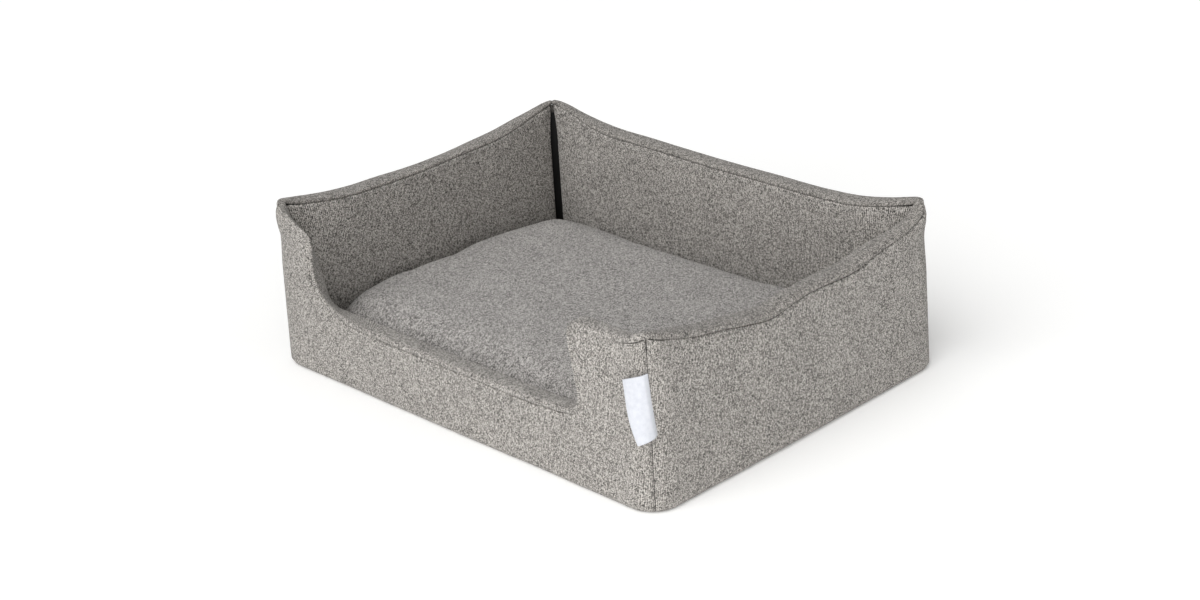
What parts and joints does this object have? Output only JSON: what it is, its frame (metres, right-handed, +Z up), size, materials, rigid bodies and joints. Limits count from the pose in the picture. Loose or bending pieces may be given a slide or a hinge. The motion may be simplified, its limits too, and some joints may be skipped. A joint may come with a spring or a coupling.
{
  "type": "dog bed",
  "caption": "Rectangular padded dog bed with upright cloth-covered foam walls, a low entry in the front wall and a loose domed cushion.",
  "frame": {"origin": "on the floor, at the middle of the bed's footprint", "axes": "+X along the front wall to the right as seen from the front, +Y to the back wall, +Z up"},
  "size_m": [0.649, 0.492, 0.21],
  "materials": {
    "wall_cloth": "matte",
    "cushion_cloth": "matte",
    "lining_cloth": "matte",
    "floor_cloth": "matte",
    "label_cloth": "satin",
    "bag_cloth": "matte",
    "foam": "matte",
    "filling": "matte",
    "zip_tape": "matte",
    "zip_teeth": "satin",
    "zip_metal": "satin"
  },
  "bodies": {
    "frame": {"bottom_panel": "floor_cloth", "base_pad": "foam", "floor_lining": "lining_cloth", "foam_board_front": "foam", "foam_board_right": "foam", "foam_board_back": "foam", "foam_board_left": "foam", "outer_panel_front": "wall_cloth", "outer_panel_right": "wall_cloth", "outer_panel_back": "wall_cloth", "outer_panel_left": "wall_cloth", "inner_panel_front": "wall_cloth", "inner_panel_right": "wall_cloth", "inner_panel_back": "wall_cloth", "inner_panel_left": "wall_cloth", "top_strip_front": "wall_cloth", "top_strip_right": "wall_cloth", "top_strip_back": "wall_cloth", "top_strip_left": "wall_cloth", "label": "label_cloth", "frame_zip_tape_upper": "zip_tape", "frame_zip_tape_lower": "zip_tape", "frame_zip_teeth_upper": "zip_teeth", "frame_zip_teeth_lower": "zip_teeth", "frame_zip_stop_top": "zip_metal", "frame_zip_stop_bottom": "zip_metal"},
    "cushion": {"cushion_filling": "filling", "cushion_inner_bag": "bag_cloth", "cushion_cover_top": "cushion_cloth", "cushion_cover_bottom": "cushion_cloth", "care_label": "label_cloth", "cushion_zip_tape_upper": "zip_tape", "cushion_zip_tape_lower": "zip_tape", "cushion_zip_teeth_upper": "zip_teeth", "cushion_zip_teeth_lower": "zip_teeth", "cushion_zip_stop_top": "zip_metal", "cushion_zip_stop_bottom": "zip_metal"},
    "frame_zip_slider": {"frame_zip_slider": "zip_metal"},
    "frame_zip_pull": {"frame_zip_pull": "zip_metal"},
    "cushion_zip_slider": {"cushion_zip_slider": "zip_metal"},
    "cushion_zip_pull": {"cushion_zip_pull": "zip_metal"}
  },
  "joints": [
    {"name": "cushion_lift", "type": "slide", "parent": "frame", "child": "cushion", "axis": [0, 0, 1], "range_m": [0, 0.25]},
    {"name": "frame_zip_slide", "type": "slide", "parent": "frame", "child": "frame_zip_slider", "axis": [-1, 0, 0], "range_m": [0, 0.4184]},
    {"name": "frame_zip_pull_swing", "type": "hinge", "parent": "frame_zip_slider", "child": "frame_zip_pull", "pos_m": [0.2092, 0.2457, 0.04609], "axis": [0, 0.0381, -0.9993], "range_deg": [0, 172]},
    {"name": "cushion_zip_slide", "type": "slide", "parent": "cushion", "child": "cushion_zip_slider", "axis": [-1, 0, 0], "range_m": [0, 0.3684]},
    {"name": "cushion_zip_pull_swing", "type": "hinge", "parent": "cushion_zip_slider", "child": "cushion_zip_pull", "pos_m": [0.1842, 0.20545, 0.0439], "axis": [0, 0, -1], "range_deg": [0, 12]}
  ]
}
